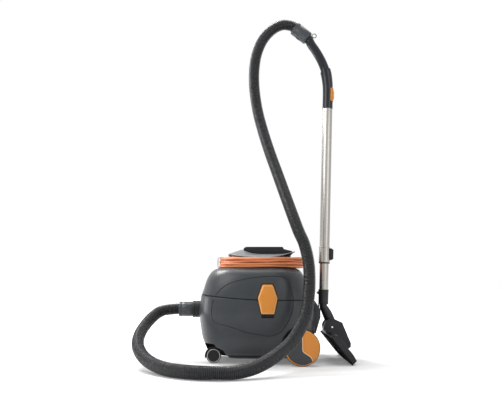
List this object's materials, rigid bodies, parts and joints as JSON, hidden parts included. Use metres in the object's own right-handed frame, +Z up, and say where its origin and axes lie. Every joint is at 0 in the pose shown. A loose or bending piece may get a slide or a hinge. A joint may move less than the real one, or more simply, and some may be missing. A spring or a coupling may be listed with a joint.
{
  "type": "canister vacuum cleaner",
  "caption": "Wheeled dry vacuum cleaner with a lift-off motor hood, carry grip, wound mains cord, suction hose and telescopic wand parked on its rear bracket with a floor nozzle.",
  "frame": {"origin": "floor point below the middle of the machine with its parked wand, hose and mains cord left out", "axes": "+X towards the rear, where the wand parks, -X towards the hose inlet, +Z up, wheels stand on z = 0"},
  "size_m": [0.7061, 0.6105, 1.2035],
  "materials": {
    "anthracite_shell": "satin",
    "black_plastic": "satin",
    "bristle": "matt",
    "chrome": "polished",
    "dock_grey": "satin",
    "fleece": "matt",
    "grey_insert": "satin",
    "handle_plastic": "polished",
    "hose_plastic": "satin, ribbed",
    "motor_can": "satin",
    "nozzle_plastic": "satin",
    "orange_cord": "satin orange sheath",
    "orange_trim": "satin orange",
    "rubber": "matt",
    "silver_rim": "silver lacquered",
    "soft_grip": "fine grained",
    "steel_tube": "polished tube"
  },
  "bodies": {
    "tank_body": {"tank": "anthracite_shell", "tank_seal": "rubber", "inlet_collar": "black_plastic", "docking_bracket": "dock_grey", "rear_axle_left": "steel_tube", "rear_axle_right": "steel_tube", "dust_bag": "fleece", "bag_collar": "fleece", "hose": "hose_plastic"},
    "hood_body": {"hood": "anthracite_shell", "handle_rim": "silver_rim", "carry_grip": "soft_grip", "motor_carrier": "black_plastic", "motor_can": "motor_can", "filter_basket": "fleece", "exhaust_filter": "fleece", "power_switch": "black_plastic", "cord_gland": "black_plastic", "mains_cord": "orange_cord", "mains_plug": "black_plastic", "plug_pin_left": "chrome", "plug_pin_right": "chrome", "latch_pin_left": "steel_tube", "latch_pin_right": "steel_tube"},
    "fan": {"fan_rotor": "steel_tube"},
    "latch_left": {"latch_left": "orange_trim"},
    "latch_right": {"latch_right": "orange_trim"},
    "power_button": {"power_button": "orange_trim"},
    "rear_wheel_left": {"rear_wheel_left": "black_plastic", "rear_tyre_left": "rubber", "hub_cap_left": "orange_trim", "hub_insert_left": "grey_insert"},
    "rear_wheel_right": {"rear_wheel_right": "black_plastic", "rear_tyre_right": "rubber", "hub_cap_right": "orange_trim", "hub_insert_right": "grey_insert"},
    "caster_fork_left": {"caster_fork_left": "black_plastic"},
    "caster_fork_right": {"caster_fork_right": "black_plastic"},
    "caster_wheels_left": {"caster_wheels_left": "black_plastic"},
    "caster_wheels_right": {"caster_wheels_right": "black_plastic"},
    "machine_cuff": {"hose_cuff_machine": "black_plastic"},
    "wand_upper": {"outer_tube": "steel_tube", "telescope_collar": "black_plastic", "wand_handle": "handle_plastic", "hanging_eye": "black_plastic"},
    "suction_slider": {"suction_slider": "orange_trim"},
    "telescope_release": {"telescope_release": "black_plastic"},
    "handle_cuff": {"hose_cuff_handle": "black_plastic"},
    "wand_lower": {"inner_tube": "steel_tube", "nozzle_socket": "nozzle_plastic"},
    "elbow": {"swivel_elbow": "nozzle_plastic"},
    "nozzle_head": {"nozzle_sole": "nozzle_plastic", "nozzle_cover": "nozzle_plastic", "tilt_pin_left": "chrome", "tilt_pin_right": "chrome", "pedal_pin": "steel_tube"},
    "nozzle_pedal": {"nozzle_pedal": "nozzle_plastic"},
    "brushes": {"brush_strips": "bristle"}
  },
  "joints": [
    {"name": "hood_lift", "type": "slide", "parent": "tank_body", "child": "hood_body", "axis": [0, 0, 1], "range_m": [0, 0.12]},
    {"name": "fan_spin", "type": "hinge", "parent": "hood_body", "child": "fan", "pos_m": [-0.03, 0, 0.26], "axis": [0, 0, 1], "continuous": true},
    {"name": "latch_left_open", "type": "hinge", "parent": "hood_body", "child": "latch_left", "pos_m": [-0.0135, -0.15027, 0.2465], "axis": [-1, 0, 0], "range_deg": [0, 38]},
    {"name": "latch_right_open", "type": "hinge", "parent": "hood_body", "child": "latch_right", "pos_m": [-0.0135, 0.15027, 0.2465], "axis": [1, 0, 0], "range_deg": [0, 38]},
    {"name": "power_press", "type": "slide", "parent": "hood_body", "child": "power_button", "axis": [-1, 0, 0], "range_m": [0, 0.003], "stiffness_N_per_m": 500, "springref_m": -0.002},
    {"name": "rear_wheel_left_roll", "type": "hinge", "parent": "tank_body", "child": "rear_wheel_left", "pos_m": [0.0925, -0.15, 0.0565], "axis": [0, 1, 0], "continuous": true},
    {"name": "rear_wheel_right_roll", "type": "hinge", "parent": "tank_body", "child": "rear_wheel_right", "pos_m": [0.0925, 0.15, 0.0565], "axis": [0, 1, 0], "continuous": true},
    {"name": "caster_left_swivel", "type": "hinge", "parent": "tank_body", "child": "caster_fork_left", "pos_m": [-0.17, -0.078, 0.06], "axis": [0, 0, 1], "continuous": true},
    {"name": "caster_right_swivel", "type": "hinge", "parent": "tank_body", "child": "caster_fork_right", "pos_m": [-0.17, 0.078, 0.06], "axis": [0, 0, 1], "continuous": true},
    {"name": "caster_left_roll", "type": "hinge", "parent": "caster_fork_left", "child": "caster_wheels_left", "pos_m": [-0.186, -0.078, 0.024], "axis": [0, 1, 0], "continuous": true},
    {"name": "caster_right_roll", "type": "hinge", "parent": "caster_fork_right", "child": "caster_wheels_right", "pos_m": [-0.186, 0.078, 0.024], "axis": [0, 1, 0], "continuous": true},
    {"name": "machine_cuff_turn", "type": "hinge", "parent": "tank_body", "child": "machine_cuff", "pos_m": [-0.276, 0, 0.168], "axis": [1, 0, 0], "continuous": true},
    {"name": "wand_raise", "type": "slide", "parent": "tank_body", "child": "wand_upper", "axis": [0.0393, 0, 0.9992], "range_m": [-0.055, 0.28], "deforming": ["hose"]},
    {"name": "telescope", "type": "slide", "parent": "wand_upper", "child": "wand_lower", "axis": [0.0393, 0, 0.9992], "range_m": [-0.28, 0.055]},
    {"name": "suction_slide", "type": "slide", "parent": "wand_upper", "child": "suction_slider", "axis": [0.0393, 0, 0.9992], "range_m": [-0.018, 0.006]},
    {"name": "release_press", "type": "slide", "parent": "wand_upper", "child": "telescope_release", "axis": [-0.9992, 0, 0.0393], "range_m": [0, 0.0025], "stiffness_N_per_m": 500, "springref_m": -0.002},
    {"name": "handle_cuff_turn", "type": "hinge", "parent": "wand_upper", "child": "handle_cuff", "pos_m": [0.0935, 0, 1.1716], "axis": [0.766, 0, -0.6428], "continuous": true},
    {"name": "elbow_swivel", "type": "hinge", "parent": "wand_lower", "child": "elbow", "pos_m": [0.1803, 0, 0.1845], "axis": [0.0393, 0, 0.9992], "range_deg": [-12, 12]},
    {"name": "nozzle_tilt", "type": "hinge", "parent": "elbow", "child": "nozzle_head", "pos_m": [0.205, 0, 0.1095], "axis": [0, 1, 0], "range_deg": [-50, 0]},
    {"name": "pedal_rock", "type": "hinge", "parent": "nozzle_head", "child": "nozzle_pedal", "pos_m": [0.22523, 0.073, 0.06796], "axis": [0, 1, 0], "range_deg": [0, 7]},
    {"name": "brush_drop", "type": "slide", "parent": "nozzle_head", "child": "brushes", "axis": [-0.776, 0, -0.6307], "range_m": [0, 0.004]}
  ],
  "couplings": [
    {"joint": "telescope", "follows": "wand_raise", "ratio": -1},
    {"joint": "brush_drop", "follows": "pedal_rock", "m_per_rad": 0.0327}
  ]
}
